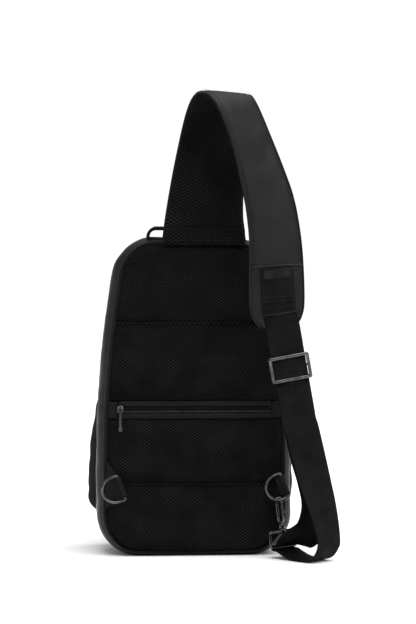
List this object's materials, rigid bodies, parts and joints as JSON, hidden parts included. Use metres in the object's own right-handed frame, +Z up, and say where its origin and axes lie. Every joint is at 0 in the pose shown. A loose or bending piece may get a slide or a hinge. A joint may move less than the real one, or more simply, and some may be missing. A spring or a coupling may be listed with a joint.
{
  "type": "sling bag",
  "caption": "Padded sling bag with a wide shoulder strap, adjustable webbing, swivel snap hook, back zip pocket and a fold-down front.",
  "frame": {"origin": "centre of the flat base, on the floor", "axes": "+Z up along the back panel, -Y out of the back panel towards the wearer, +Y towards the front pocket, +X to the right as the wearer's side is looked at"},
  "size_m": [0.265, 0.1894, 0.4987],
  "materials": {
    "body_nylon": "satin",
    "strap_nylon": "satin",
    "trim_nylon": "satin",
    "pocket_cloth": "matte",
    "spacer_mesh": "matte",
    "webbing": "matte",
    "zip_tape": "matte",
    "foam": "matte",
    "stiffener": "matte",
    "label": "matte",
    "hardware": "polished",
    "pull_cord": "satin"
  },
  "bodies": {
    "bag": {"base_panel": "body_nylon", "kick_panel": "body_nylon", "back_board": "stiffener", "back_panel_upper": "spacer_mesh", "back_panel_lower": "spacer_mesh", "back_zip_tape": "zip_tape", "back_zip_end_tabs": "trim_nylon", "rear_piping": "trim_nylon", "left_side_panel": "body_nylon", "right_side_panel": "body_nylon", "top_panel": "body_nylon", "left_zip_end_gusset": "body_nylon", "right_zip_end_gusset": "body_nylon", "main_zip_tape_rear": "zip_tape", "inner_sleeve": "trim_nylon", "haul_handle": "webbing", "left_d_ring_tab": "trim_nylon", "right_d_ring_tab": "trim_nylon", "strap_mesh": "spacer_mesh", "strap_foam": "foam", "strap_cover": "strap_nylon", "strap_label": "label", "webbing": "webbing", "hook_base_ring": "hardware"},
    "front_shell": {"front_panel": "body_nylon", "left_front_gusset": "body_nylon", "right_front_gusset": "body_nylon", "top_front_gusset": "body_nylon", "main_zip_tape_front": "zip_tape", "front_pocket_gusset": "pocket_cloth", "front_zip_tape": "zip_tape"},
    "pocket_lid": {"front_pocket_panel": "pocket_cloth"},
    "back_slider": {"back_zip_slider": "hardware"},
    "back_pull": {"back_zip_pull": "pull_cord"},
    "lower_slider": {"main_zip_slider_lower": "hardware"},
    "lower_pull": {"main_zip_pull_lower": "pull_cord"},
    "upper_slider": {"main_zip_slider_upper": "hardware"},
    "upper_pull": {"main_zip_pull_upper": "pull_cord"},
    "pocket_slider": {"front_zip_slider": "hardware"},
    "pocket_pull": {"front_zip_pull": "pull_cord"},
    "left_ring": {"left_d_ring": "hardware"},
    "right_ring": {"right_d_ring": "hardware"},
    "hook": {"hook_body": "hardware"},
    "gate": {"hook_gate": "hardware"},
    "adjuster": {"adjuster_frame": "hardware", "adjuster_bar": "hardware", "webbing_end_loop": "webbing"}
  },
  "joints": [
    {"name": "front_shell_fold", "type": "hinge", "parent": "bag", "child": "front_shell", "pos_m": [0, 0.0365, 0.03615], "axis": [-1, 0, 0], "range_deg": [0, 55]},
    {"name": "pocket_lid_fold", "type": "hinge", "parent": "front_shell", "child": "pocket_lid", "pos_m": [0, 0.0564, 0.0399], "axis": [-1, 0, 0], "range_deg": [0, 35]},
    {"name": "back_zip_slide", "type": "slide", "parent": "bag", "child": "back_slider", "axis": [1, 0, 0], "range_m": [0, 0.152]},
    {"name": "back_pull_swing", "type": "hinge", "parent": "back_slider", "child": "back_pull", "pos_m": [-0.081, -0.0418, 0.1595], "axis": [-1, 0, 0], "range_deg": [0, 160]},
    {"name": "lower_slider_slide", "type": "slide", "parent": "bag", "child": "lower_slider", "axis": [0.0876, 0, -0.9962], "range_m": [0, 0.06]},
    {"name": "lower_pull_swing", "type": "hinge", "parent": "lower_slider", "child": "lower_pull", "pos_m": [0.10594, 0.008, 0.21041], "axis": [0, -1, 0], "range_deg": [0, 120]},
    {"name": "upper_slider_slide", "type": "slide", "parent": "bag", "child": "upper_slider", "axis": [-0.1128, 0, 0.9936], "range_m": [0, 0.04]},
    {"name": "upper_pull_swing", "type": "hinge", "parent": "upper_slider", "child": "upper_pull", "pos_m": [0.10271, 0.008, 0.24253], "axis": [0, -1, 0], "range_deg": [0, 160]},
    {"name": "pocket_slider_slide", "type": "slide", "parent": "front_shell", "child": "pocket_slider", "axis": [0.1149, 0, -0.9934], "range_m": [0, 0.04]},
    {"name": "pocket_pull_swing", "type": "hinge", "parent": "pocket_slider", "child": "pocket_pull", "pos_m": [0.11578, 0.0566, 0.12054], "axis": [0, -1, 0], "range_deg": [0, 160]},
    {"name": "left_ring_swing", "type": "hinge", "parent": "bag", "child": "left_ring", "pos_m": [-0.08, -0.0465, 0.0758], "axis": [-0.3486, 0, 0.9373], "range_deg": [0, 160]},
    {"name": "right_ring_swing", "type": "hinge", "parent": "bag", "child": "right_ring", "pos_m": [0.0968, -0.0465, 0.0773], "axis": [-0.3486, 0, 0.9373], "range_deg": [0, 1.3]},
    {"name": "hook_swivel", "type": "hinge", "parent": "bag", "child": "hook", "pos_m": [0.0935, -0.0501, 0.0302], "axis": [-0.1038, 0.1167, 0.9877], "range_deg": [-5, 4]},
    {"name": "hook_gate_spring", "type": "hinge", "parent": "hook", "child": "gate", "pos_m": [0.09524, -0.04414, 0.04325], "axis": [0.8077, -0.5697, 0.1522], "range_deg": [0, 20], "stiffness_Nm_per_rad": 0.02},
    {"name": "adjuster_slide", "type": "slide", "parent": "bag", "child": "adjuster", "axis": [-0.1818, -0.068, 0.981], "range_m": [-0.028, 0.026]}
  ]
}
